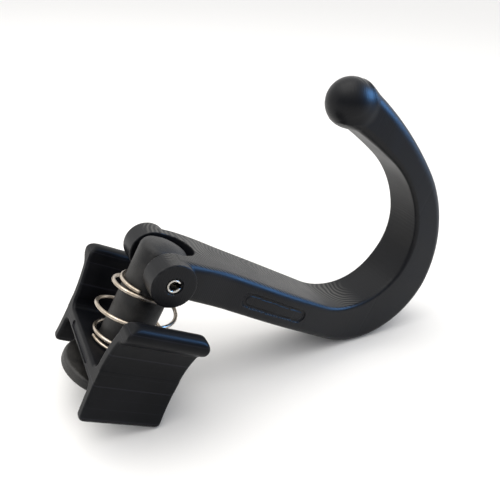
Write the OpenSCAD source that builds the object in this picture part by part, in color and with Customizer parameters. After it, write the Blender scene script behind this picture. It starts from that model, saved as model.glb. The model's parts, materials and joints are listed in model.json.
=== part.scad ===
// Spring-clamp wall hanger with a hinged J hook.
//
// The parts are laid out about the hinge pin: x runs out along the hook arm, y along the pin
// and z up the post. The whole hanger is then leaned over until it rests on the saddle's
// lower edge and on the bend of the hook, as it lies on a table.

/* [Hook arm] */
// Diameter of the two hinge knuckles
knuckle_d = 16; // [14:0.5:20]
// Width over the two knuckles, along the pin
fork_w = 34.8; // [32:0.2:42]
// How far each knuckle stands out of the side of the arm
knuckle_proud = 1.9; // [0.5:0.1:3]
// Thickness of the straight part of the arm
beam_t = 14.4; // [12:0.2:18]
// Fall of the straight part of the arm below square to the post, in degrees
beam_fall = 3.5; // [0:0.5:8]
// Distance from the hinge pin to the centre of the hook's bay
bay_x = 72.5; // [64:0.5:90]
// Height of the centre of the bay above the hinge pin
bay_z = 33.2; // [30:0.2:38]
// Radius of the bay
bay_r = 28; // [24:0.5:31]
// Half the width of the arm round the bend
bend_half_w = 9; // [7:0.2:11]
// Half the width of the arm where it meets the ball
tip_half_w = 5; // [4:0.2:5.4]
// Diameter of the ball on the tip
ball_d = 18.3; // [16:0.1:22]

/* [Hinge pin] */
// Diameter of the slotted spring pin
pin_d = 5; // [4:0.5:6]
// Wall of the spring pin
pin_wall = 0.8; // [0.5:0.1:1]
// Width of the pin's slot
pin_slot_w = 1.8; // [0.8:0.1:2.2]

/* [Post] */
// Diameter of the post
post_d = 17.5; // [15:0.5:19]
// Depth of the flat on each side of the head
flat_depth = 0.65; // [0.2:0.05:2]
// Height of the head's crown above the hinge pin
head_top = 8.2; // [6.5:0.1:9]
// Diameter of the clamp disc at the foot of the post
disc_d = 34.6; // [26:0.2:35]
// Thickness of the clamp disc
disc_t = 4; // [3:0.2:5]

/* [Saddle] */
// Length of the saddle, square to the pin
saddle_l = 29.4; // [24:0.2:36]
// Distance between the two wings at their waist, outside
waist_w = 48.2; // [46:0.2:58]
// Radius of the hollow on the outside of each wing, below its waist
wing_r = 100; // [60:5:160]
// Radius of the hollow on the outside of each wing, above its waist
upper_wing_r = 36; // [30:1:60]
// Thickness of each wing
wing_t = 4.2; // [3:0.1:5]
// Thickness of the roll along the upper lip of each wing
roll_d = 6.2; // [5:0.1:8]
// Height of each wing above its waist
wing_up = 22.4; // [16:0.2:23]
// Depth of each wing below its waist
wing_down = 18.1; // [16:0.2:24]
// Distance from the hinge pin down to the top of the saddle's web
web_drop = 33; // [31:0.5:42]
// Thickness of the web
web_t = 5.4; // [4:0.2:7]
// Room between the web and the clamp disc
clamp_gap = 4.4; // [3:0.1:7]

/* [Spring] */
// Diameter of the spring wire
wire_d = 1.4; // [1:0.1:1.6]
// Radius of the belly of the spring, to the middle of the wire
belly_r = 13.9; // [12:0.1:15]
// Radius of the spring's foot, to the middle of the wire
foot_r = 11; // [10.5:0.1:12]

/* [Hidden] */
$fn = 96;

// Clearances
swing_gap = 0.15;      // each side of the head in the fork
pin_gap = 0.06;        // radial, pin in the head
slide_gap = 0.1;       // radial, post in the saddle
slot_room = 1.25;      // between the round end of the fork's slot and the side of the post
seat_gap = 0.2;        // between the spring and the knuckles
eps = 0.01;

// Fork
knuckle_r = knuckle_d / 2;
head_t = post_d - 2 * flat_depth;
slot_w = head_t + 2 * swing_gap;
slot_r = slot_w / 2;
post_r = post_d / 2;
slot_end_x = post_r + slot_room - slot_r;
shoulder_half_w = fork_w / 2 - knuckle_proud;

// Outline of the hook, as arcs that run into each other: [radius, angle where it hands over]
outer_arcs = [[34.6, 5], [53.7, 62], [150, 90]];
inner_arcs = [[bay_r, 38], [46.5, 77], [200, 100]];
bay = [bay_x, bay_z];
fall_dir = [cos(beam_fall), -sin(beam_fall)];
down_dir = [-sin(beam_fall), -cos(beam_fall)];
beam_top_end = bay + bay_r * down_dir;
beam_low_end = beam_top_end + beam_t * down_dir;
outer_run = 12;        // how much further along the beam the outer arc starts
outer_touch = beam_low_end + outer_run * fall_dir;
outer_c = arc_centres(outer_arcs, outer_touch - outer_arcs[0][0] * down_dir);
inner_c = arc_centres(inner_arcs, bay);
ball_r = ball_d / 2;
ball_angle = 81.1;
ball_proud = 1.55;
ball_c = outer_c[2] + (outer_arcs[2][0] - ball_r + ball_proud) * dir(ball_angle);
split_z = outer_c[0][1] + outer_arcs[0][0] * sin(outer_arcs[0][1]);
far = 400;

// Saddle
web_top = -web_drop;
web_low = web_top - web_t;
waist_z = web_top + 0.5;
saddle_low = waist_z - wing_down;
saddle_top = waist_z + wing_up;
corner_r = 2.4;
upper_corner_r = 4;
slab_over = 0.25;       // how far the corner rounding starts beyond the lips
web_fillet = 3;
foot_fillet = 2;

// Post
disc_top = web_low - clamp_gap;
disc_low = disc_top - disc_t;
disc_edge = 1.2;
head_edge = 1.8;
crown_r = 20;
flat_low = -knuckle_r - 1;
// height at which the rounding of the head's rim starts, and how far the rim reaches from the pin
rim_z = head_top - crown_r + sqrt(crown_r * crown_r - (post_r - head_edge) ^ 2) - head_edge;
rim_reach = norm([post_r - head_edge, rim_z]) + head_edge;

// Spring, measured in turns from its cut upper end
spring_turns = 4.15;
spring_top = -knuckle_r - seat_gap - wire_d / 2;
spring_low = web_top + wire_d / 2;
collar_r = post_r + wire_d / 2 + 0.25;
spring_start = -125;

// Rest on the table
low_c = [saddle_l / 2 - corner_r, saddle_low - slab_over + corner_r];
span = outer_c[0] - low_c;
lean = atan2(span[1], span[0]) - asin((outer_arcs[0][0] - corner_r) / norm(span));
rest_z = up_of(low_c) - corner_r;
left_x = min(along_of([-disc_d / 2 + disc_edge, disc_low + disc_edge]) - disc_edge,
    along_of([-low_c[0], low_c[1]]) - corner_r);
right_x = along_of(outer_c[1]) + outer_arcs[1][0];

function dir(a) = [cos(a), sin(a)];
function along_of(p) = p[0] * cos(lean) + p[1] * sin(lean);
function up_of(p) = p[1] * cos(lean) - p[0] * sin(lean);

// Each arc's centre lies on the line through the last arc's centre and the point where they meet
function next_centre(c, arcs, i) = c - (arcs[i + 1][0] - arcs[i][0]) * dir(arcs[i][1]);
function arc_centres(arcs, c) =
    let (c1 = next_centre(c, arcs, 0), c2 = next_centre(c1, arcs, 1)) [c, c1, c2];

// 0 to 1 with soft ends as t runs from a to b
function ramp(t, a, b) = let (u = max(0, min(1, (t - a) / (b - a)))) u * u * (3 - 2 * u);

// Half the width of the lower arm at a distance from the pin
function arm_half_w(x) = shoulder_half_w
    - 1.9 * ramp(x, 4, 26)
    - (shoulder_half_w - 1.9 - bend_half_w) * ramp(x, 44, bay_x + bay_r);

module at_table() {
    translate([-(left_x + right_x) / 2, 0, -rest_z]) rotate([0, lean, 0]) children();
}

// Turns an outline drawn in x and z into a solid, centred on y
module across(w) {
    rotate([90, 0, 0]) linear_extrude(height = w, center = true) children();
}

module disc_at(c, r) {
    translate(c) circle(r = r, $fn = 160);
}

// Everything on the left of a line from p in the direction a, as seen looking along it
module left_of(p, a) {
    translate(p) rotate(a) translate([-far, 0]) square([2 * far, far]);
}

module beam_outline() {
    shoulder = beam_top_end - (beam_top_end[0] - 12) / fall_dir[0] * fall_dir;
    touch = atan2(shoulder[1], shoulder[0]) + acos(knuckle_r / norm(shoulder));
    low_start = beam_low_end - beam_low_end[0] / fall_dir[0] * fall_dir;
    polygon([knuckle_r * dir(touch), shoulder, beam_top_end, outer_touch, low_start, [0, 0]]);
}

// Bend below the level where the outer arc first hands over
module lower_bend_outline() {
    difference() {
        intersection() {
            disc_at(outer_c[0], outer_arcs[0][0]);
            left_of(beam_low_end, -90 - beam_fall);
            translate([0, split_z - far]) square([far, far]);
        }
        disc_at(inner_c[0], inner_arcs[0][0]);
    }
}

// One stretch of the upper hook between two radial lines
module hook_stretch(outer, inner, from_p, from_a, to_p, to_a) {
    difference() {
        intersection() {
            disc_at(outer_c[outer], outer_arcs[outer][0]);
            left_of(from_p, from_a);
            left_of(to_p, to_a + 180);
        }
        disc_at(inner_c[inner], inner_arcs[inner][0]);
    }
}

module upper_hook_outline() {
    turn_in = inner_arcs[0][1];
    turn_out = outer_arcs[1][1];
    turn_tip = inner_arcs[1][1];
    level = [outer_c[1][0], split_z];
    hook_stretch(1, 0, level, 0, inner_c[0], turn_in);
    hook_stretch(1, 1, inner_c[0], turn_in, outer_c[1], turn_out);
    hook_stretch(2, 1, outer_c[1], turn_out, inner_c[1], turn_tip);
    hook_stretch(2, 2, inner_c[1], turn_tip, ball_c, ball_angle);
}

// Plan of the lower arm: full width at the shoulders, easing in along its length
module arm_plan() {
    reach = outer_c[0][0] + outer_arcs[0][0] + 1;
    steps = 28;
    xs = [for (i = [0:steps]) -knuckle_r + i * (reach + knuckle_r) / steps];
    polygon(concat([for (x = xs) [x, arm_half_w(x)]],
        [for (i = [steps:-1:0]) [xs[i], -arm_half_w(xs[i])]]));
}

// Front of the upper hook, easing in towards the ball
module hook_front() {
    top = ball_c[1] + ball_r;
    polygon([[-bend_half_w, split_z], [bend_half_w, split_z],
        [tip_half_w, top], [-tip_half_w, top]]);
}

module arm_body() {
    intersection() {
        across(fork_w) {
            beam_outline();
            lower_bend_outline();
            upper_hook_outline();
        }
        union() {
            translate([0, 0, split_z - far]) linear_extrude(height = far) arm_plan();
            rotate([90, 0, 90]) linear_extrude(height = far) hook_front();
        }
    }
    translate([ball_c[0], 0, ball_c[1]]) rotate([90, 0, 180]) sphere(r = ball_r);
}

// Plain sunk panel on each side of the arm
module side_panels() {
    panel_l = 26;
    panel_h = 5.6;
    panel_x = 46;
    depth = 0.5;
    mid = beam_top_end + beam_t / 2 * down_dir;
    mid_z = mid[1] + (mid[0] - panel_x) * tan(beam_fall);
    for (side = [-1, 1])
        translate([panel_x, side * (arm_half_w(panel_x) + 2 - depth), mid_z])
            rotate([0, beam_fall, 0]) across(4) slot_shape(panel_l, panel_h);
}

module slot_shape(l, w) {
    square([l, w], center = true);
    for (side = [-1, 1]) translate([side * l / 2, 0]) circle(r = w / 2);
}

// Round pocket in which the rim of the head swings
module rim_pocket() {
    intersection() {
        rotate([90, 0, 180]) sphere(r = rim_reach + swing_gap);
        cube([far, slot_w, far], center = true);
    }
}

module hook_arm() {
    hole_edge = 0.5;
    color("#242427") at_table() difference() {
        union() {
            arm_body();
            across(fork_w) circle(r = knuckle_r);
        }
        // slot that takes the head of the post, round at its inner end
        translate([slot_end_x, 0, -far / 2]) cylinder(r = slot_r, h = far);
        translate([slot_end_x - far, -slot_r, -far / 2]) cube([far, slot_w, far]);
        rim_pocket();
        across(far) circle(d = pin_d);
        for (side = [-1, 1]) translate([0, side * (fork_w / 2 - hole_edge), 0])
            across(2 * hole_edge) circle(d = pin_d + 1);
        side_panels();
    }
}

module hinge_pin() {
    end_inset = 0.3;
    color("#b9b4ab") at_table() across(fork_w - 2 * end_inset) difference() {
        circle(d = pin_d);
        circle(d = pin_d - 2 * pin_wall);
        rotate(20) translate([0, -pin_slot_w / 2]) square([pin_d, pin_slot_w]);
    }
}

// Half section of the post, drawn as distance from its axis and height
module post_section() {
    translate([0, disc_low]) {
        square([disc_d / 2 - disc_edge, disc_t]);
        translate([0, disc_edge]) square([disc_d / 2, disc_t - 2 * disc_edge]);
        for (z = [disc_edge, disc_t - disc_edge])
            translate([disc_d / 2 - disc_edge, z]) circle(r = disc_edge);
        square([post_r, rim_z - disc_low]);
    }
    translate([post_r - head_edge, rim_z]) circle(r = head_edge);
    intersection() {
        square([post_r - head_edge, far]);
        translate([0, head_top - crown_r]) circle(r = crown_r, $fn = 160);
    }
}

module post() {
    color("#2b2b2e") at_table() difference() {
        rotate_extrude() post_section();
        for (side = [-1, 1]) translate([-far / 2, side > 0 ? head_t / 2 : -head_t / 2 - far, flat_low])
            cube([far, far, far]);
        across(far) circle(r = pin_d / 2 + pin_gap);
    }
}

// Part of one wing, from its waist up or down to where its lip is centred
module wing_stretch(r, rise, up) {
    c = [waist_w / 2 + r, waist_z];
    difference() {
        intersection() {
            disc_at(c, r + wing_t);
            left_of(c, up > 0 ? 0 : 180);
            left_of(c, up > 0 ? 180 - rise : rise);
            translate([c[0] - far, c[1] - far]) square([far, 2 * far]);
        }
        disc_at(c, r);
    }
}

// Outline of one wing: a roll along its upper lip and a rounded lower lip
module wing_outline() {
    roll_path = upper_wing_r + wing_t - roll_d / 2;
    roll_a = asin((wing_up - roll_d / 2) / roll_path);
    lip_path = wing_r + wing_t / 2;
    lip_a = asin((wing_down - wing_t / 2) / lip_path);
    wing_stretch(upper_wing_r, roll_a, 1);
    wing_stretch(wing_r, lip_a, -1);
    translate([waist_w / 2 + upper_wing_r, waist_z] + roll_path * dir(180 - roll_a)) circle(d = roll_d);
    translate([waist_w / 2 + wing_r, waist_z] + lip_path * dir(180 + lip_a)) circle(r = wing_t / 2 - eps);
}

// Points round the corner between one face of the web and a wing, ending inside the wing
function web_corner(face_z, r, up) =
    let (hollow = up > 0 ? upper_wing_r : wing_r, big = hollow + wing_t,
        fillet_z = face_z + up * r, rise = fillet_z - waist_z,
        run = sqrt((big + r) ^ 2 - rise * rise), centre = [waist_w / 2 + hollow - run, fillet_z],
        turn = atan2(-rise, run), steps = 8,
        arc = [for (i = [0:steps]) centre + r * dir(-90 * up + (turn + 90 * up) * i / steps)])
    concat(arc, [arc[steps] + [wing_t / 2, 0]]);
function mirrored(points) = [for (i = [len(points) - 1:-1:0]) [-points[i][0], points[i][1]]];
function backwards(points) = [for (i = [len(points) - 1:-1:0]) points[i]];

module saddle_outline() {
    right = concat(web_corner(web_low, foot_fillet, -1), backwards(web_corner(web_top, web_fillet, 1)));
    polygon(concat(right, mirrored(right)));
    for (side = [0, 1]) mirror([side, 0]) wing_outline();
}

module round_slab(l, h, low_r, top_r) {
    translate([-l / 2, low_r - h / 2]) square([l, h - low_r - top_r]);
    translate([low_r - l / 2, -h / 2]) square([l - 2 * low_r, h / 2]);
    translate([top_r - l / 2, 0]) square([l - 2 * top_r, h / 2]);
    for (side = [-1, 1]) {
        translate([side * (l / 2 - low_r), low_r - h / 2]) circle(r = low_r);
        translate([side * (l / 2 - top_r), h / 2 - top_r]) circle(r = top_r);
    }
}

module saddle() {
    panel_l = 22;
    panel_h = 2.6;
    depth = 0.5;
    color("#1e1e21") at_table() difference() {
        intersection() {
            rotate([90, 0, 90]) linear_extrude(height = saddle_l + 2, center = true) saddle_outline();
            translate([0, 0, (saddle_low + saddle_top) / 2])
                across(far) round_slab(saddle_l, saddle_top - saddle_low + 2 * slab_over,
                    corner_r, upper_corner_r);
        }
        translate([0, 0, web_low - 1]) cylinder(r = post_r + slide_gap, h = web_t + 2);
        // plain sunk panel in each end of the web
        for (side = [-1, 1]) translate([side * (saddle_l / 2 + 1 - depth), 0, web_top - web_t / 2])
            rotate([90, 0, 90]) linear_extrude(height = 2, center = true)
                slot_shape(panel_l, panel_h);
    }
}

// Spring wire: closed turns at both ends, a wide belly between them
function spring_z(u) = let (pitch = wire_d + 0.05)
    u < 1 ? spring_top - pitch * u
    : u > spring_turns - 0.9 ? spring_low + pitch * (spring_turns - u)
    : let (z0 = spring_top - pitch, z1 = spring_low + 0.9 * pitch,
        t = (u - 1) / (spring_turns - 1.9)) z0 + (z1 - z0) * (0.35 * ramp(t, 0, 1) + 0.65 * t);
function spring_r(u) = collar_r + (belly_r - collar_r) * ramp(u, 0.85, 1.6)
    - (belly_r - foot_r) * ramp(u, 2.5, 3.2);
function spring_at(u) = let (a = spring_start - 360 * u)
    [spring_r(u) * cos(a), spring_r(u) * sin(a), spring_z(u)];

module spring() {
    sides = 10;
    rings = 110;
    us = [for (i = [0:rings]) i * spring_turns / rings];
    points = [for (u = us) let (a = spring_start - 360 * u, p = spring_at(u))
        for (k = [0:sides - 1]) let (b = 360 * k / sides)
            p + wire_d / 2 * [cos(b) * cos(a), cos(b) * sin(a), sin(b)]];
    walls = [for (i = [0:rings - 1]) for (k = [0:sides - 1])
        let (n = (k + 1) % sides) [i * sides + k, i * sides + n, (i + 1) * sides + n, (i + 1) * sides + k]];
    first_end = [for (k = [sides - 1:-1:0]) k];
    last_end = [for (k = [0:sides - 1]) rings * sides + k];
    color("#c9b48a") at_table() polyhedron(points, concat([first_end], walls, [last_end]), convexity = 8);
}

hook_arm();
hinge_pin();
post();
saddle();
spring();
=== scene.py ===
import json
import math

import bpy
import numpy as np
from mathutils import Matrix, Vector


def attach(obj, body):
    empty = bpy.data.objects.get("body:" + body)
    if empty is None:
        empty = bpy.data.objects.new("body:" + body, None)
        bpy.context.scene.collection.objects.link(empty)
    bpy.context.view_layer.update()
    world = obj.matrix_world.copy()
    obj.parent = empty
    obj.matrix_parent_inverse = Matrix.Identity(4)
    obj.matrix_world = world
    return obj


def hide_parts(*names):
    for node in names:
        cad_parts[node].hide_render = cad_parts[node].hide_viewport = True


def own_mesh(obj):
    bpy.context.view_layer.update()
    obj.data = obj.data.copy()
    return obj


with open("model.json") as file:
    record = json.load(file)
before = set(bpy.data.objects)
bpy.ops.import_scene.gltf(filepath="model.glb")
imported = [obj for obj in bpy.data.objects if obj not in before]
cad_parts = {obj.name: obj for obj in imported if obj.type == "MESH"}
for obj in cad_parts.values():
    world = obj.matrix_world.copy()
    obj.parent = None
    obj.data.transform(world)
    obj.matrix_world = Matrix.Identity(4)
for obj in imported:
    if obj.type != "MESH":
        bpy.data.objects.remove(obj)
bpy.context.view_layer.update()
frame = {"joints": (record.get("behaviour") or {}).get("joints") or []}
scene = bpy.context.scene

# The hanger is drawn about its hinge pin, in millimetres: x out along the arm, y along the pin,
# z up the post. The frame's joints say where the pin is and how far the post leans.
joints = {joint["name"]: joint for joint in frame["joints"]}
pinPlace = Vector(joints["hook_hinge"]["pos_m"])
postUp = Vector(joints["saddle_lift"]["axis"]).normalized()
leanAngle = math.atan2(postUp.x, postUp.z)
toTable = Matrix.Translation(pinPlace) @ Matrix.Rotation(leanAngle, 4, "Y") @ Matrix.Scale(0.001, 4)


cameraSetup = {
    "fromPin": (-0.04835, -0.16578, 0.09693),
    "turn": (61.99, -2.27, -25.64),
    "lens": 40.32,
    "sensor": 36,
}

studio = {
    "floorSize": 30.0,
    "floorColour": (0.87, 0.86, 0.845, 1),
    "floorRoughness": 0.75,
    "floorShine": 0.2,
    "skyTop": (1.0, 1.0, 1.0, 1),
    "skyBack": (1.0, 0.995, 0.985, 1),
    "skyFront": (0.22, 0.24, 0.29, 1),
    "skyPower": 1.15,
    "sideSpan": (-0.1, 0.35),    # where the dim side turns into the white one
    "heightSpan": (0.25, 0.8),   # where the horizon turns into the top of the sky
    "lamps": {
        "ceiling": {
            "place": (-0.25, 0.1, 1.0), "size": (1.0, 1.0), "power": 7.0,
            "colour": (1.0, 0.985, 0.955), "onlyShine": False,
        },
        "skyWindow": {   # seen only as a blue shine on the edges
            "place": (0.85, -0.28, 0.48), "size": (0.45, 0.45), "power": 15.0,
            "colour": (0.16, 0.45, 1.0), "onlyShine": True,
        },
    },
}


def addCamera():
    data = bpy.data.cameras.new("camera")
    data.lens = cameraSetup["lens"]
    data.sensor_width = cameraSetup["sensor"]
    data.clip_start = 0.01
    camera = bpy.data.objects.new("camera", data)
    camera.location = pinPlace + Vector(cameraSetup["fromPin"])
    camera.rotation_euler = [math.radians(angle) for angle in cameraSetup["turn"]]
    scene.collection.objects.link(camera)
    scene.camera = camera
    print("camera ready")


def addAreaLight(name, place, size, power, colour, onlyShine):
    data = bpy.data.lights.new(name, "AREA")
    data.shape = "RECTANGLE"
    data.size, data.size_y = size
    data.energy = power
    data.color = colour
    light = bpy.data.objects.new(name, data)
    light.location = place
    light.rotation_euler = (pinPlace - Vector(place)).to_track_quat("-Z", "Y").to_euler()
    light.visible_diffuse = not onlyShine
    scene.collection.objects.link(light)


def addStudio():
    half = studio["floorSize"] / 2
    mesh = bpy.data.meshes.new("floor")
    corners = [(-half, -half, 0), (half, -half, 0), (half, half, 0), (-half, half, 0)]
    mesh.from_pydata(corners, [], [(0, 1, 2, 3)])
    floor = bpy.data.objects.new("floor", mesh)
    scene.collection.objects.link(floor)
    paint = bpy.data.materials.new("floorPaint")
    paint.use_nodes = True
    shader = paint.node_tree.nodes["Principled BSDF"]
    shader.inputs["Base Color"].default_value = studio["floorColour"]
    shader.inputs["Roughness"].default_value = studio["floorRoughness"]
    shader.inputs["Specular IOR Level"].default_value = studio["floorShine"]
    mesh.materials.append(paint)

    world = bpy.data.worlds.new("studio")
    scene.world = world
    world.use_nodes = True
    nodes, links = world.node_tree.nodes, world.node_tree.links
    background = nodes["Background"]
    background.inputs["Strength"].default_value = studio["skyPower"]
    coords = nodes.new("ShaderNodeTexCoord")
    split = nodes.new("ShaderNodeSeparateXYZ")
    links.new(coords.outputs["Generated"], split.inputs["Vector"])
    # the wall behind the hanger is white, and the room on the camera's side is dim
    behind = addRange(world.node_tree, split.outputs["Y"], *studio["sideSpan"])
    above = addRange(world.node_tree, split.outputs["Z"], *studio["heightSpan"])
    horizon = addMix(world.node_tree, behind, studio["skyFront"], studio["skyBack"])
    sky = addMix(world.node_tree, above, horizon, studio["skyTop"])
    links.new(sky, background.inputs["Color"])

    for name, lamp in studio["lamps"].items():
        addAreaLight(name, **lamp)
    scene.view_settings.view_transform = "Standard"
    print("studio ready,", len(studio["lamps"]), "lamps")


# Each piece is a distance field, and a skin is grown over the place where it is zero.
# ramp goes smoothly from 0 to 1 between start and end
def ramp(value, start, end):
    share = np.clip((value - start) / (end - start), 0, 1)
    return share * share * (3 - 2 * share)


# What lies in both solids, with the edge between them rounded to the given radius
def keepBoth(a, b, radius):
    corner = np.hypot(np.maximum(a + radius, 0), np.maximum(b + radius, 0))
    return np.minimum(np.maximum(a, b), -radius) + corner


# Either solid, with a fillet of the given radius where they meet
def join(a, b, radius):
    return -keepBoth(-a, -b, radius)


def cut(solid, tool, radius):
    return keepBoth(solid, -tool, radius)


# Flat shape with two straight sides and two round ends, of this length between the ends' centres
def stadium(u, v, length, width):
    return np.hypot(np.maximum(np.abs(u) - length / 2, 0), v) - width / 2


# The field's slope at each point, which is also the way that the surface faces there
def slopeOf(field, points, reach=0.02):
    slope = np.empty_like(points)
    for axis in range(3):
        ahead, behind = points.copy(), points.copy()
        ahead[:, axis] += reach
        behind[:, axis] -= reach
        slope[:, axis] = (field(*ahead.T) - field(*behind.T)) / (2 * reach)
    return slope


# Slide the points on to the surface
def settle(field, points, rounds, leastSlope=0.05):
    for _ in range(rounds):
        slope = slopeOf(field, points)
        size = np.maximum((slope ** 2).sum(1), leastSlope)
        points = points - slope * (field(*points.T) / size)[:, None]
    return points


# Move each point half of the way to the middle of its neighbours
def evenOut(points, faces):
    total = np.zeros_like(points)
    count = np.zeros(len(points))
    for k in range(4):
        here, after = faces[:, k], faces[:, (k + 1) % 4]
        np.add.at(total, here, points[after])
        np.add.at(total, after, points[here])
        np.add.at(count, here, 1)
        np.add.at(count, after, 1)
    return 0.5 * points + 0.5 * total / np.maximum(count, 1)[:, None]


# One vertex in each grid cell that the surface crosses, and one quad round each grid edge
def growSkin(field, low, high, step):
    axes = [np.arange(a - 1.6 * step, b + 2.6 * step, step) for a, b in zip(low, high)]
    value = field(*np.meshgrid(*axes, indexing="ij"))
    inside = value < 0
    shape = tuple(n - 1 for n in value.shape)
    offsets = [(i, j, k) for i in (0, 1) for j in (0, 1) for k in (0, 1)]
    filled = sum(inside[i:i + shape[0], j:j + shape[1], k:k + shape[2]].astype(np.int8)
                 for i, j, k in offsets)
    cells = np.argwhere((filled > 0) & (filled < 8))
    number = np.full(shape, -1)
    number[tuple(cells.T)] = np.arange(len(cells))

    origin = np.array([line[0] for line in axes])
    total, count = np.zeros((len(cells), 3)), np.zeros(len(cells))
    for a in offsets:
        for axis in range(3):
            if a[axis]:
                continue
            b = tuple(a[n] + (n == axis) for n in range(3))
            va = value[tuple((cells + a).T)]
            vb = value[tuple((cells + b).T)]
            crossed = (va < 0) != (vb < 0)
            share = np.where(crossed, va / np.where(crossed, va - vb, 1), 0)
            spot = cells + np.array(a) + share[:, None] * (np.array(b) - np.array(a))
            total += np.where(crossed[:, None], spot, 0)
            count += crossed
    points = origin + step * total / count[:, None]

    faces = []
    for axis in range(3):
        near = [slice(None)] * 3
        after = [slice(None)] * 3
        near[axis], after[axis] = slice(0, -1), slice(1, None)
        first = inside[tuple(near)]
        for grows in (True, False):
            found = np.argwhere((first != inside[tuple(after)]) & (first == grows))
            u, v = (axis + 1) % 3, (axis + 2) % 3
            ring = []
            for du, dv in ((-1, -1), (0, -1), (0, 0), (-1, 0)):
                cell = found.copy()
                cell[:, u] += du
                cell[:, v] += dv
                ring.append(number[tuple(cell.T)])
            ring = np.stack(ring, 1)
            faces.append(ring if grows else ring[:, ::-1])
    faces = np.concatenate(faces)
    points = settle(field, points, 2)
    for _ in range(2):
        points = settle(field, evenOut(points, faces), 1)
    return settle(field, points, 1), faces


def addPiece(name, points, faces, normals=None):
    mesh = bpy.data.meshes.new(name)
    table = np.array(toTable)
    placed = points @ table[:3, :3].T + table[:3, 3]
    mesh.from_pydata(placed.tolist(), [], faces.tolist() if hasattr(faces, "tolist") else faces)
    mesh.update()
    mesh.polygons.foreach_set("use_smooth", [True] * len(mesh.polygons))
    if normals is not None:
        turned = normals @ table[:3, :3].T
        turned /= np.maximum(np.linalg.norm(turned, axis=1), 1e-12)[:, None]
        mesh.normals_split_custom_set_from_vertices(turned.tolist())
    piece = bpy.data.objects.new(name, mesh)
    scene.collection.objects.link(piece)
    print(name, len(mesh.vertices), "points")
    return piece


def addSolid(name, field, low, high, step):
    points, faces = growSkin(field, low, high, step)
    return addPiece(name, points, faces, slopeOf(field, points))


def newGroup(name, inputs, outputs):
    group = bpy.data.node_groups.new(name, "ShaderNodeTree")
    for title, kind, start in inputs:
        socket = group.interface.new_socket(name=title, in_out="INPUT", socket_type="NodeSocket" + kind)
        socket.default_value = start
    for title, kind in outputs:
        group.interface.new_socket(name=title, in_out="OUTPUT", socket_type="NodeSocket" + kind)
    nodes = group.nodes
    return group, nodes, group.links, nodes.new("NodeGroupInput"), nodes.new("NodeGroupOutput")


def addMath(tree, operation, *values):
    node = tree.nodes.new("ShaderNodeMath")
    node.operation = operation
    for socket, value in zip(node.inputs, values):
        if isinstance(value, (int, float)):
            socket.default_value = value
        else:
            tree.links.new(value, socket)
    return node.outputs[0]


def addVectorMath(tree, operation, *values):
    node = tree.nodes.new("ShaderNodeVectorMath")
    node.operation = operation
    for socket, value in zip(node.inputs, values):
        if isinstance(value, bpy.types.NodeSocket):
            tree.links.new(value, socket)
        else:
            socket.default_value = value
    return node.outputs["Value" if operation == "DOT_PRODUCT" else "Vector"]


def addNoise(tree, vector, scale, detail=2.0, rough=0.5):
    node = tree.nodes.new("ShaderNodeTexNoise")
    tree.links.new(vector, node.inputs["Vector"])
    if isinstance(scale, bpy.types.NodeSocket):
        tree.links.new(scale, node.inputs["Scale"])
    else:
        node.inputs["Scale"].default_value = scale
    node.inputs["Detail"].default_value = detail
    node.inputs["Roughness"].default_value = rough
    return node.outputs["Fac"]


def addRange(tree, value, low, high, newLow=0.0, newHigh=1.0, smooth=True):
    node = tree.nodes.new("ShaderNodeMapRange")
    node.interpolation_type = "SMOOTHSTEP" if smooth else "LINEAR"
    tree.links.new(value, node.inputs["Value"])
    for title, number in zip(("From Min", "From Max", "To Min", "To Max"), (low, high, newLow, newHigh)):
        if isinstance(number, bpy.types.NodeSocket):
            tree.links.new(number, node.inputs[title])
        else:
            node.inputs[title].default_value = number
    return node.outputs["Result"]


def addMix(tree, factor, first, second):
    node = tree.nodes.new("ShaderNodeMix")
    node.data_type = "RGBA"
    for title, value in (("Factor", factor), ("A", first), ("B", second)):
        socket = [s for s in node.inputs if s.name == title and s.enabled][0]
        if isinstance(value, bpy.types.NodeSocket):
            tree.links.new(value, socket)
        else:
            socket.default_value = value
    return [s for s in node.outputs if s.enabled][0]


# Place on the piece in millimetres, about the hinge pin and squared up to the post
def makePinSpace():
    group, nodes, links, _, groupOut = newGroup(
        "pinSpace", [], [("Position", "Vector"), ("Facing", "Vector")])
    coords = nodes.new("ShaderNodeTexCoord")
    moved = addVectorMath(group, "SUBTRACT", coords.outputs["Object"], tuple(pinPlace))
    for source, title, size in ((moved, "Position", 1000.0), (coords.outputs["Normal"], "Facing", 1.0)):
        turn = nodes.new("ShaderNodeVectorRotate")
        turn.rotation_type = "Y_AXIS"
        turn.inputs["Angle"].default_value = -leanAngle
        links.new(source, turn.inputs["Vector"])
        scaled = nodes.new("ShaderNodeVectorMath")
        scaled.operation = "SCALE"
        scaled.inputs["Scale"].default_value = size
        links.new(turn.outputs["Vector"], scaled.inputs[0])
        links.new(scaled.outputs["Vector"], groupOut.inputs[title])
    return group


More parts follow.
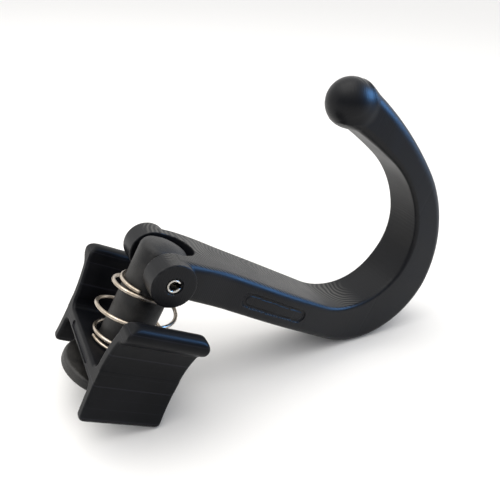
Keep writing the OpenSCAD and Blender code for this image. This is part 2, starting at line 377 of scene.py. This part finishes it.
# Fine parallel tool lines square to a direction, with a few deeper ones
def makeToolLines():
    group, nodes, links, groupIn, groupOut = newGroup(
        "toolLines",
        [("Position", "Vector", (0, 0, 0)), ("Direction", "Vector", (0, 0, 1)), ("Pitch", "Float", 0.4),
         ("Wander", "Float", 0.05)],
        [("Height", "Float"), ("Deep", "Float")])
    along = addVectorMath(group, "DOT_PRODUCT", groupIn.outputs["Position"], groupIn.outputs["Direction"])
    waver = addNoise(group, groupIn.outputs["Position"], 0.12)
    drift = addMath(group, "MULTIPLY", waver, groupIn.outputs["Wander"])
    lines = addMath(group, "DIVIDE", addMath(group, "ADD", along, drift), groupIn.outputs["Pitch"])
    wave = addMath(group, "SINE", addMath(group, "MULTIPLY", lines, 2 * math.pi))
    links.new(addRange(group, wave, -1.0, 1.0, smooth=False), groupOut.inputs["Height"])
    stripe = nodes.new("ShaderNodeTexNoise")
    stripe.noise_dimensions = "1D"
    links.new(addMath(group, "MULTIPLY", lines, 0.35), stripe.inputs["W"])
    stripe.inputs["Scale"].default_value = 1.0
    stripe.inputs["Detail"].default_value = 3.0
    links.new(addRange(group, stripe.outputs["Fac"], 0.62, 0.72), groupOut.inputs["Deep"])
    return group


# Matt grain with a slow change of tone under it
def makeGrain():
    group, _, links, groupIn, groupOut = newGroup(
        "mattGrain", [("Position", "Vector", (0, 0, 0)), ("Size", "Float", 3.0)],
        [("Height", "Float"), ("Tone", "Float")])
    place = groupIn.outputs["Position"]
    links.new(addNoise(group, place, groupIn.outputs["Size"], 3.0, 0.6), groupOut.inputs["Height"])
    links.new(addRange(group, addNoise(group, place, 0.09, 4.0), 0.3, 0.7), groupOut.inputs["Tone"])
    return group


# Edges that hands have rubbed
def makeRubbedEdges():
    group, nodes, links, groupIn, groupOut = newGroup(
        "rubbedEdges", [("Position", "Vector", (0, 0, 0)), ("Amount", "Float", 0.5)], [("Mask", "Float")])
    geometry = nodes.new("ShaderNodeNewGeometry")
    sharp = addRange(group, geometry.outputs["Pointiness"], 0.505, 0.56)
    broken = addRange(group, addNoise(group, groupIn.outputs["Position"], 0.6, 4.0), 0.35, 0.65)
    worn = addMath(group, "MULTIPLY", sharp, broken)
    links.new(addMath(group, "MULTIPLY", worn, groupIn.outputs["Amount"]), groupOut.inputs["Mask"])
    return group


pinSpace = makePinSpace()
toolLines = makeToolLines()
mattGrain = makeGrain()
rubbedEdges = makeRubbedEdges()
print("shared node groups ready")


def placeGroup(tree, group, **values):
    node = tree.nodes.new("ShaderNodeGroup")
    node.node_tree = group
    for title, value in values.items():
        if isinstance(value, bpy.types.NodeSocket):
            tree.links.new(value, node.inputs[title])
        else:
            node.inputs[title].default_value = value
    return node


def newMaterial(name):
    material = bpy.data.materials.new(name)
    material.use_nodes = True
    tree = material.node_tree
    return material, tree, tree.nodes["Principled BSDF"]


def addBump(tree, shader, height, distance, strength=1.0):
    bump = tree.nodes.new("ShaderNodeBump")
    bump.inputs["Distance"].default_value = distance
    bump.inputs["Strength"].default_value = strength
    tree.links.new(height, bump.inputs["Height"])
    tree.links.new(bump.outputs["Normal"], shader.inputs["Normal"])


# Figure like wood grain where the cutter has followed the nearly flat top of the arm, kept to up-facing
# surfaces; used as colour, its stripes are painted sheen
def addSwirl(tree, space, look):
    split = tree.nodes.new("ShaderNodeSeparateXYZ")
    tree.links.new(space.outputs["Position"], split.inputs["Vector"])
    aside = addMath(tree, "SUBTRACT", split.outputs["Y"], look["middle"])
    bend = addMath(tree, "MULTIPLY", addMath(tree, "MULTIPLY", aside, aside), look["bend"])
    drift = addMath(tree, "MULTIPLY", addNoise(tree, space.outputs["Position"], 0.05, 2.0), look["drift"])
    along = addMath(tree, "ADD", addMath(tree, "SUBTRACT", split.outputs["X"], bend), drift)
    turns = addMath(tree, "MULTIPLY", addMath(tree, "DIVIDE", along, look["spacing"]), 2 * math.pi)
    wave = addRange(tree, addMath(tree, "SINE", turns), -0.6, 1.0)
    facing = addVectorMath(tree, "DOT_PRODUCT", space.outputs["Facing"], (0, 0, 1))
    onTop = addRange(tree, facing, 0.75, 0.97)
    return addMath(tree, "MULTIPLY", wave, onTop)


# The value with so many times the mask added to it
def addTimes(tree, value, mask, times):
    return addMath(tree, "ADD", value, addMath(tree, "MULTIPLY", mask, times))


# Satin black moulding: grain, tool lines along one direction, rubbed edges
def makeBlack(name, look):
    material, tree, shader = newMaterial(name)
    space = placeGroup(tree, pinSpace)
    place = space.outputs["Position"]
    lines = placeGroup(tree, toolLines, Position=place, Direction=look["linesAlong"],
                       Pitch=look["linePitch"], Wander=look["lineWander"])
    grain = placeGroup(tree, mattGrain, Position=place, Size=look["grainSize"])
    rubbed = placeGroup(tree, rubbedEdges, Position=place, Amount=look["rubbing"])
    colour = addMix(tree, grain.outputs["Tone"], (*look["dark"], 1), (*look["light"], 1))
    colour = addMix(tree, rubbed.outputs["Mask"], colour, (*look["rubbed"], 1))
    if "streaks" in look:
        streaks = addMath(tree, "MULTIPLY", lines.outputs["Deep"], look["streaks"])
        colour = addMix(tree, streaks, colour, (*look["streakColour"], 1))
    rough = addTimes(tree, look["roughness"], grain.outputs["Tone"], 0.06)
    rough = addTimes(tree, rough, rubbed.outputs["Mask"], -0.12)
    shader.inputs["IOR"].default_value = look["ior"]
    height = addMath(tree, "MULTIPLY", lines.outputs["Height"], look["lineDepth"])
    height = addTimes(tree, height, lines.outputs["Deep"], -look["deepLines"])
    height = addTimes(tree, height, grain.outputs["Height"], look["grainDepth"])
    if "swirlAndSheen" in look:
        swirlAndSheen = addSwirl(tree, space, look["swirlAndSheen"])
        height = addTimes(tree, height, swirlAndSheen, look["swirlAndSheen"]["depth"])
        rough = addTimes(tree, rough, swirlAndSheen, look["swirlAndSheen"]["dulling"])
        # painted sheen: the swirl's stripes are painted a light warm grey on the up-facing top, standing in
        # for the reflection that lights it
        colour = addMix(tree, swirlAndSheen, colour, (*look["swirlAndSheen"]["colour"], 1))
    tree.links.new(colour, shader.inputs["Base Color"])
    tree.links.new(rough, shader.inputs["Roughness"])
    addBump(tree, shader, height, 0.001)
    return material


# Dull bright steel: drawing lines, grain and a slow change of stain
def makeSteel(name, look):
    material, tree, shader = newMaterial(name)
    space = placeGroup(tree, pinSpace)
    place = space.outputs["Position"]
    lines = placeGroup(tree, toolLines, Position=place, Direction=look["linesAlong"],
                       Pitch=look["linePitch"], Wander=1.0)
    grain = placeGroup(tree, mattGrain, Position=place, Size=look["grainSize"])
    stain = addRange(tree, addNoise(tree, place, look["stainSize"], 4.0, 0.65), 0.35, 0.75)
    colour = addMix(tree, stain, (*look["bright"], 1), (*look["stained"], 1))
    tree.links.new(colour, shader.inputs["Base Color"])
    shader.inputs["Metallic"].default_value = 1.0
    rough = addTimes(tree, look["roughness"], stain, 0.15)
    tree.links.new(rough, shader.inputs["Roughness"])
    height = addMath(tree, "MULTIPLY", lines.outputs["Height"], look["lineDepth"])
    height = addTimes(tree, height, grain.outputs["Height"], look["grainDepth"])
    addBump(tree, shader, height, 0.001)
    return material


# Radii, half widths and places in millimetres
arm = {
    "knuckleR": 8.0, "forkHalf": 17.4, "knuckleProud": 1.9, "knuckleRim": 0.45, "knuckleFoot": 0.5,
    "beamT": 14.4, "fall": math.radians(3.5), "bay": (72.5, 33.2), "outerRun": 12.0,
    "outer": ((34.6, 5), (53.7, 62), (150, 90)),      # radius, and the angle where the next one takes over
    "inner": ((28.0, 38), (46.5, 77), (200, 100)),
    "bendHalf": 10.2, "tipHalf": 7.6, "forkTaper": 1.9, "taperSpan": (4, 26), "narrowFrom": 44,
    "outerSwell": 0.9, "swellSpan": (5, 45),
    "ballR": 9.15, "ballAngle": math.radians(81.1), "ballProud": 1.55, "neck": 2.0,
    "slotHalf": 8.25, "slotReach": 10.0, "slotEdge": 0.3, "pocketR": 10.6,
    "holeR": 2.5, "holeEdge": 0.1, "holeMouth": 3.0, "mouthDepth": 0.5, "mouthEdge": 0.12,
    "shoulderX": 12.0, "shoulderBlend": 1.2, "shoulderSpan": (20, 45),
    "edgeBeam": 3.1, "edgeBend": 3.2, "edgeTip": 5.0, "edgeSpan": (20, 90),
    "hollowEdge": 1.6, "hollowSpan": (50, 85),
    "panelX": 46.0, "panelL": 26.0, "panelH": 5.6, "panelDepth": 0.5, "panelEdge": 0.15,
    "fieldDepth": 0.2, "fieldInset": (1.0, 1.8),      # the raised field in the middle of the panel
    "hookFrom": 20, "farAway": 60, "step": 0.5,
}


def unit(angle):
    return np.array([math.cos(angle), math.sin(angle)])


def arcCentres(arcs, start):
    centres = [np.array(start)]
    for (radius, handover), (after, _) in zip(arcs, arcs[1:]):
        centres.append(centres[-1] - (after - radius) * unit(math.radians(handover)))
    return centres


alongBeam = unit(-arm["fall"])
underBeam = unit(-math.pi / 2 - arm["fall"])
bay = np.array(arm["bay"])
beamTop = bay + arm["inner"][0][0] * underBeam
beamLow = beamTop + arm["beamT"] * underBeam
outerTouch = beamLow + arm["outerRun"] * alongBeam
outerCentres = arcCentres(arm["outer"], outerTouch - arm["outer"][0][0] * underBeam)
innerCentres = arcCentres(arm["inner"], bay)
ballOut = unit(arm["ballAngle"])
ballPlace = outerCentres[2] + (arm["outer"][2][0] - arm["ballR"] + arm["ballProud"]) * ballOut
splitZ = outerCentres[0][1] + arm["outer"][0][0] * math.sin(math.radians(arm["outer"][0][1]))
shoulder = beamTop - (beamTop[0] - arm["shoulderX"]) / alongBeam[0] * alongBeam
shoulderTurn = math.atan2(shoulder[1], shoulder[0]) + math.acos(arm["knuckleR"] / np.hypot(*shoulder))


# Distance beyond a run of arcs, with a straight beam before the first one
def beyondArcs(x, z, arcs, centres, lineStart, sign):
    cx, cz = centres[0]
    fromLine = (x - lineStart[0]) * underBeam[0] + (z - lineStart[1]) * underBeam[1]
    before = ((x - cx) * alongBeam[0] + (z - cz) * alongBeam[1] < 0) & (z < cz)
    result = np.hypot(x - cx, z - cz) - arcs[0][0]
    for (_, handover), (radius, _), last, centre in zip(arcs, arcs[1:], centres, centres[1:]):
        angle = np.degrees(np.arctan2(z - last[1], x - last[0]))
        result = np.where(angle > handover, np.hypot(x - centre[0], z - centre[1]) - radius, result)
    return sign * np.where(before, fromLine, result)


def armHalfWidth(x, z):
    shoulderHalf = arm["forkHalf"] - arm["knuckleProud"]
    beamHalf = shoulderHalf - arm["forkTaper"]
    low = shoulderHalf - arm["forkTaper"] * ramp(x, *arm["taperSpan"])
    low = low - (beamHalf - arm["bendHalf"]) * ramp(x, arm["narrowFrom"], bay[0] + arm["inner"][0][0])
    top = ballPlace[1] + arm["ballR"]
    high = arm["bendHalf"] + (arm["tipHalf"] - arm["bendHalf"]) * (z - splitZ) / (top - splitZ)
    return np.where(z > splitZ, high, low)


def armField(x, y, z):
    outside = beyondArcs(x, z, arm["outer"], outerCentres, outerTouch, 1)
    bayside = beyondArcs(x, z, arm["inner"], innerCentres, beamTop, -1)
    slope = x * math.cos(shoulderTurn) + z * math.sin(shoulderTurn) - arm["knuckleR"]
    slope = np.where(z < arm["hookFrom"], slope, -arm["farAway"])
    slope = slope - arm["farAway"] * ramp(x, *arm["shoulderSpan"])   # the shoulder ends well before the hook
    bayside = keepBoth(bayside, slope, arm["shoulderBlend"])
    tip = -(x - ballPlace[0]) * ballOut[1] + (z - ballPlace[1]) * ballOut[0]
    outside = outside - arm["outerSwell"] * ramp(z, *arm["swellSpan"])
    outside = np.maximum(outside, np.where(z > arm["hookFrom"], tip, -x))
    edge = arm["edgeBeam"] + (arm["edgeBend"] - arm["edgeBeam"]) * ramp(x, *arm["edgeSpan"])
    edge = edge + (arm["edgeTip"] - arm["edgeBend"]) * ramp(z, splitZ, ballPlace[1])
    hollow = arm["edgeBeam"] + (arm["hollowEdge"] - arm["edgeBeam"]) * ramp(x, *arm["hollowSpan"])
    half = armHalfWidth(x, z)
    side = np.abs(y) - half
    body = np.maximum(keepBoth(outside, side, edge), keepBoth(bayside, side, hollow))
    ball = np.sqrt((x - ballPlace[0]) ** 2 + y ** 2 + (z - ballPlace[1]) ** 2) - arm["ballR"]
    body = join(body, ball, arm["neck"])
    fromPin = np.hypot(x, z)
    knuckles = keepBoth(fromPin - arm["knuckleR"], np.abs(y) - arm["forkHalf"], arm["knuckleRim"])
    body = join(body, knuckles, arm["knuckleFoot"])
    # sunk panel on each side, with a raised field in the middle of it
    middle = beamTop + arm["beamT"] / 2 * underBeam
    panelZ = middle[1] + (middle[0] - arm["panelX"]) * math.tan(arm["fall"])
    u = (x - arm["panelX"]) * alongBeam[0] + (z - panelZ) * alongBeam[1]
    v = -(x - arm["panelX"]) * underBeam[0] - (z - panelZ) * underBeam[1]
    rimmed = stadium(u, v, arm["panelL"], arm["panelH"])
    raised = stadium(u, v, arm["panelL"] - arm["fieldInset"][0], arm["panelH"] - arm["fieldInset"][1])
    depth = arm["panelDepth"] - (arm["panelDepth"] - arm["fieldDepth"]) * ramp(-raised, -0.1, 0.25)
    body = cut(body, np.maximum(rimmed, half - depth - np.abs(y)), arm["panelEdge"])
    # slot for the head of the post, the pocket that its rim swings in, and the pin's hole
    slotX = arm["slotReach"] - arm["slotHalf"]
    slot = np.hypot(np.maximum(x - slotX, 0), y) - arm["slotHalf"]
    body = cut(body, slot, arm["slotEdge"])
    pocket = np.sqrt(x ** 2 + y ** 2 + z ** 2) - arm["pocketR"]
    body = np.maximum(body, -np.maximum(pocket, np.abs(y) - arm["slotHalf"]))
    body = cut(body, fromPin - arm["holeR"], arm["holeEdge"])
    mouth = np.maximum(fromPin - arm["holeMouth"], arm["forkHalf"] - arm["mouthDepth"] - np.abs(y))
    return cut(body, mouth, arm["mouthEdge"])


def makeHookArm():
    low = (-arm["knuckleR"], -arm["forkHalf"], beamLow[1] - 2)
    high = (outerCentres[1][0] + arm["outer"][1][0], arm["forkHalf"], ballPlace[1] + arm["ballR"])
    piece = addSolid("hookArm", armField, low, high, arm["step"])
    piece.data.materials.append(makeBlack("armSatinBlack", {
        "dark": (0.0012, 0.0014, 0.0024), "light": (0.0026, 0.0029, 0.0044), "rubbed": (0.03, 0.03, 0.031),
        "roughness": 0.37, "ior": 1.29, "linesAlong": (1, 0, 0.05), "linePitch": 0.8, "lineWander": 0.5,
        "lineDepth": 0.02, "deepLines": 0.02, "grainSize": 6.0, "grainDepth": 0.004, "rubbing": 0.5,
        "swirlAndSheen": {
            "middle": 5.0, "bend": 0.05, "drift": 12.0, "spacing": 2.0,
            # the stripes' colour is painted sheen, a light warm grey on the top
            "depth": 0.09, "dulling": 0.1, "colour": (0.075, 0.073, 0.069),
        },
    }))
    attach(piece, "hook")
    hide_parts("hook_arm")


# Rolled pin, open along one side
pin = {
    "r": 2.5, "wall": 0.8, "half": 17.1, "endEdge": 0.25,
    "slotHalf": 0.9, "slotTurn": math.radians(20), "slotEdge": 0.2,
    "step": 0.2,
}


def pinField(x, y, z):
    ring = np.abs(np.hypot(x, z) - pin["r"] + pin["wall"] / 2) - pin["wall"] / 2
    body = keepBoth(ring, np.abs(y) - pin["half"], pin["endEdge"])
    u = x * math.cos(pin["slotTurn"]) + z * math.sin(pin["slotTurn"])
    v = -x * math.sin(pin["slotTurn"]) + z * math.cos(pin["slotTurn"])
    return cut(body, np.maximum(np.abs(v) - pin["slotHalf"], -u), pin["slotEdge"])


def makeHingePin():
    low, high = (-pin["r"], -pin["half"], -pin["r"]), (pin["r"], pin["half"], pin["r"])
    piece = addSolid("hingePin", pinField, low, high, pin["step"])
    piece.data.materials.append(makeSteel("pinSteel", {
        "bright": (0.62, 0.6, 0.56), "stained": (0.36, 0.33, 0.28), "roughness": 0.26, "stainSize": 0.5,
        "linesAlong": (0, 1, 0), "linePitch": 0.3, "lineDepth": 0.002, "grainSize": 8.0, "grainDepth": 0.003,
    }))
    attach(piece, "hook")
    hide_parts("hinge_pin")


post = {
    "r": 8.75, "headHalf": 8.1, "headTop": 8.2, "crownR": 20.0, "rim": 1.8,
    "flatLow": -9.0, "flatEdge": 0.15, "holeR": 2.56, "holeEdge": 0.2,
    "discR": 17.3, "discTop": -42.8, "discLow": -46.8, "discEdge": 1.2, "foot": 0.6,
    "intoDisc": 1.0,    # how far above the disc's underside the stem stops
    "step": 0.4,
}


def postField(x, y, z):
    fromAxis = np.hypot(x, y)
    crown = np.hypot(fromAxis, np.maximum(z - post["headTop"] + post["crownR"], 0)) - post["crownR"]
    stem = keepBoth(fromAxis - post["r"], np.maximum(crown, post["discLow"] - z), post["rim"])
    stem = np.maximum(stem, post["discLow"] + post["intoDisc"] - z)
    flats = np.maximum(post["headHalf"] - np.abs(y), post["flatLow"] - z)
    stem = cut(stem, flats, post["flatEdge"])
    middle = (post["discTop"] + post["discLow"]) / 2
    thick = (post["discTop"] - post["discLow"]) / 2
    disc = keepBoth(fromAxis - post["discR"], np.abs(z - middle) - thick, post["discEdge"])
    body = join(stem, disc, post["foot"])
    return cut(body, np.hypot(x, z) - post["holeR"], post["holeEdge"])


def makePost():
    low = (-post["discR"], -post["discR"], post["discLow"])
    high = (post["discR"], post["discR"], post["headTop"])
    piece = addSolid("postWithDisc", postField, low, high, post["step"])
    piece.data.materials.append(makeBlack("postMattBlack", {
        "dark": (0.003, 0.003, 0.0036), "light": (0.03, 0.0285, 0.0265), "rubbed": (0.08, 0.077, 0.072),
        "roughness": 0.45, "ior": 1.38, "linesAlong": (0, 0, 1), "linePitch": 0.3, "lineWander": 0.2,
        "lineDepth": 0.004, "deepLines": 0.002, "grainSize": 2.4, "grainDepth": 0.11, "rubbing": 0.8,
    }))
    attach(piece, "post")
    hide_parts("post")


saddle = {
    "half": 14.7, "waistY": 24.1, "waistZ": -32.5, "wingT": 4.2,
    "upperR": 36.0, "wingUp": 22.4, "rollR": 3.1, "rollBlend": 3.0,
    "lowerR": 100.0, "wingDown": 18.1,
    "webTop": -33.0, "webLow": -38.4, "webBite": 2.0, "filletTop": 3.0, "filletLow": 2.0,
    "corner": 2.4, "upperCorner": 4.0, "edge": 1.1, "lipRoom": 0.25,
    "boreR": 8.85, "boreEdge": 0.3,
    "panelL": 22.0, "panelH": 2.6, "panelDepth": 0.5, "panelEdge": 0.15,
    "reach": 8.0,       # how far past the waist the wings' tips can stand
    "step": 0.4,
}


# One curved length of wing, from the waist to its rounded end
def wingStretch(wide, z, radius, lip, rise, sign):
    path = radius + lip
    centreY = saddle["waistY"] + radius
    end = math.asin(rise / path)
    up = sign * (z - saddle["waistZ"])
    turn = np.clip(np.arctan2(up, centreY - wide), -0.1, end)
    return np.hypot(wide - centreY + path * np.cos(turn), up - path * np.sin(turn)) - lip


def saddleField(x, y, z):
    wide = np.abs(y)
    lip = saddle["wingT"] / 2
    upper = wingStretch(wide, z, saddle["upperR"], lip, saddle["wingUp"] - saddle["rollR"], 1)
    lower = wingStretch(wide, z, saddle["lowerR"], lip, saddle["wingDown"] - lip, -1)
    rollPath = saddle["upperR"] + saddle["wingT"] - saddle["rollR"]
    rollRise = saddle["wingUp"] - saddle["rollR"]
    rollY = saddle["waistY"] + saddle["upperR"] - math.sqrt(rollPath ** 2 - rollRise ** 2)
    roll = np.hypot(wide - rollY, z - saddle["waistZ"] - rollRise) - saddle["rollR"]
    wing = join(np.where(z > saddle["waistZ"], upper, lower), roll, saddle["rollBlend"])
    webMiddle = (saddle["webTop"] + saddle["webLow"]) / 2
    webHalf = (saddle["webTop"] - saddle["webLow"]) / 2
    web = np.maximum(np.abs(z - webMiddle) - webHalf, wide - saddle["waistY"] + saddle["webBite"])
    outline = np.where(z > webMiddle, join(wing, web, saddle["filletTop"]),
                       join(wing, web, saddle["filletLow"]))
    lowZ = saddle["waistZ"] - saddle["wingDown"]
    highZ = saddle["waistZ"] + saddle["wingUp"]
    middle = (lowZ + highZ) / 2
    ends = np.abs(x) - saddle["half"]
    rise = np.abs(z - middle) - (highZ - lowZ) / 2 - saddle["lipRoom"]
    slab = np.where(z > middle, keepBoth(ends, rise, saddle["upperCorner"]),
                    keepBoth(ends, rise, saddle["corner"]))
    body = keepBoth(outline, slab, saddle["edge"])
    body = cut(body, np.hypot(x, y) - saddle["boreR"], saddle["boreEdge"])
    panel = stadium(y, z - webMiddle, saddle["panelL"], saddle["panelH"])
    sunk = np.maximum(panel, saddle["half"] - saddle["panelDepth"] - np.abs(x))
    return cut(body, sunk, saddle["panelEdge"])


def makeSaddle():
    lipY = saddle["waistY"] + saddle["reach"]
    low = (-saddle["half"], -lipY, saddle["waistZ"] - saddle["wingDown"])
    high = (saddle["half"], lipY, saddle["waistZ"] + saddle["wingUp"])
    piece = addSolid("springSaddle", saddleField, low, high, saddle["step"])
    piece.data.materials.append(makeBlack("saddleSatinBlack", {
        "dark": (0.0026, 0.0029, 0.0038), "light": (0.005, 0.0053, 0.0066), "rubbed": (0.03, 0.03, 0.031),
        "roughness": 0.36, "ior": 1.2, "linesAlong": (0, 0, 1), "linePitch": 0.45, "lineWander": 0.1,
        "lineDepth": 0.006, "deepLines": 0.02, "grainSize": 6.0, "grainDepth": 0.004, "rubbing": 0.5,
        "streaks": 0.8, "streakColour": (0.013, 0.013, 0.017),
    }))
    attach(piece, "saddle")
    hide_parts("saddle")


spring = {
    "wireR": 0.7, "turns": 4.15, "start": math.radians(-125), "top": -8.9, "low": -32.3,
    "collarR": 9.7, "bellyR": 13.9, "footR": 11.0,
    "swellTurns": (0.85, 1.6), "drawInTurns": (2.5, 3.2),   # where along the wire its radius changes
    "closedGap": 0.05, "closedTop": 1.0, "closedLow": 0.9,
    "earlyRise": 0.35,   # share of the open coils' climb that is packed in the middle
    "travel": 14.0, "sides": 16, "rings": 420,
}


def springLine(u):
    pitch = 2 * spring["wireR"] + spring["closedGap"]
    turns, first, last = spring["turns"], spring["closedTop"], spring["closedLow"]
    topEnd, lowEnd = spring["top"] - first * pitch, spring["low"] + last * pitch
    share = (u - first) / (turns - first - last)
    climb = spring["earlyRise"] * ramp(share, 0, 1) + (1 - spring["earlyRise"]) * share
    openCoils = topEnd + (lowEnd - topEnd) * climb
    z = np.where(u < first, spring["top"] - pitch * u,
                 np.where(u > turns - last, spring["low"] + pitch * (turns - u), openCoils))
    r = spring["collarR"] + (spring["bellyR"] - spring["collarR"]) * ramp(u, *spring["swellTurns"])
    r = r - (spring["bellyR"] - spring["footR"]) * ramp(u, *spring["drawInTurns"])
    angle = spring["start"] - 2 * math.pi * u
    return np.stack([r * np.cos(angle), r * np.sin(angle), z], -1)


# A tube swept along the wire's line, with dressed ends
def makeSpring():
    sides, rings = spring["sides"], spring["rings"]
    u = np.linspace(0, spring["turns"], rings)
    line = springLine(u)
    forward = np.gradient(line, axis=0)
    forward /= np.linalg.norm(forward, axis=1)[:, None]
    outward = line * (1, 1, 0)
    outward -= forward * (outward * forward).sum(1)[:, None]
    outward /= np.linalg.norm(outward, axis=1)[:, None]
    across = np.cross(forward, outward)
    around = 2 * np.pi * np.arange(sides) / sides
    # the cut ends are dressed with a small rounded edge
    shrink = [(0.0, 0.0), (0.0, 0.72), (0.04, 0.9), (0.14, 1.0)]
    rows = []
    for inset, size in shrink:
        rows.append((line[0] + forward[0] * inset, outward[0], across[0], size))
    for k in range(1, rings - 1):
        rows.append((line[k], outward[k], across[k], 1.0))
    for inset, size in reversed(shrink):
        rows.append((line[-1] - forward[-1] * inset, outward[-1], across[-1], size))
    points = []
    for centre, out, side, size in rows:
        ring = np.outer(np.cos(around), out) + np.outer(np.sin(around), side)
        points.append(centre + spring["wireR"] * size * ring)
    points = np.concatenate(points[1:-1])
    count = len(rows) - 2
    faces = []
    for i in range(count - 1):
        for k in range(sides):
            n = (k + 1) % sides
            faces.append((i * sides + k, i * sides + n, (i + 1) * sides + n, (i + 1) * sides + k))
    faces.append(tuple(range(sides))[::-1])
    faces.append(tuple((count - 1) * sides + k for k in range(sides)))
    piece = addPiece("barrelSpring", points, faces)
    piece.data.materials.append(makeSteel("springSteel", {
        "bright": (0.56, 0.49, 0.41), "stained": (0.3, 0.25, 0.19), "roughness": 0.27, "stainSize": 0.25,
        "linesAlong": (0, 0, 1), "linePitch": 0.25, "lineDepth": 0.0015, "grainSize": 5.0, "grainDepth": 0.004,
    }))
    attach(piece, "spring")
    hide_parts("spring")
    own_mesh(piece)


addCamera()
addStudio()
makeHookArm()
makeHingePin()
makePost()
makeSaddle()
makeSpring()
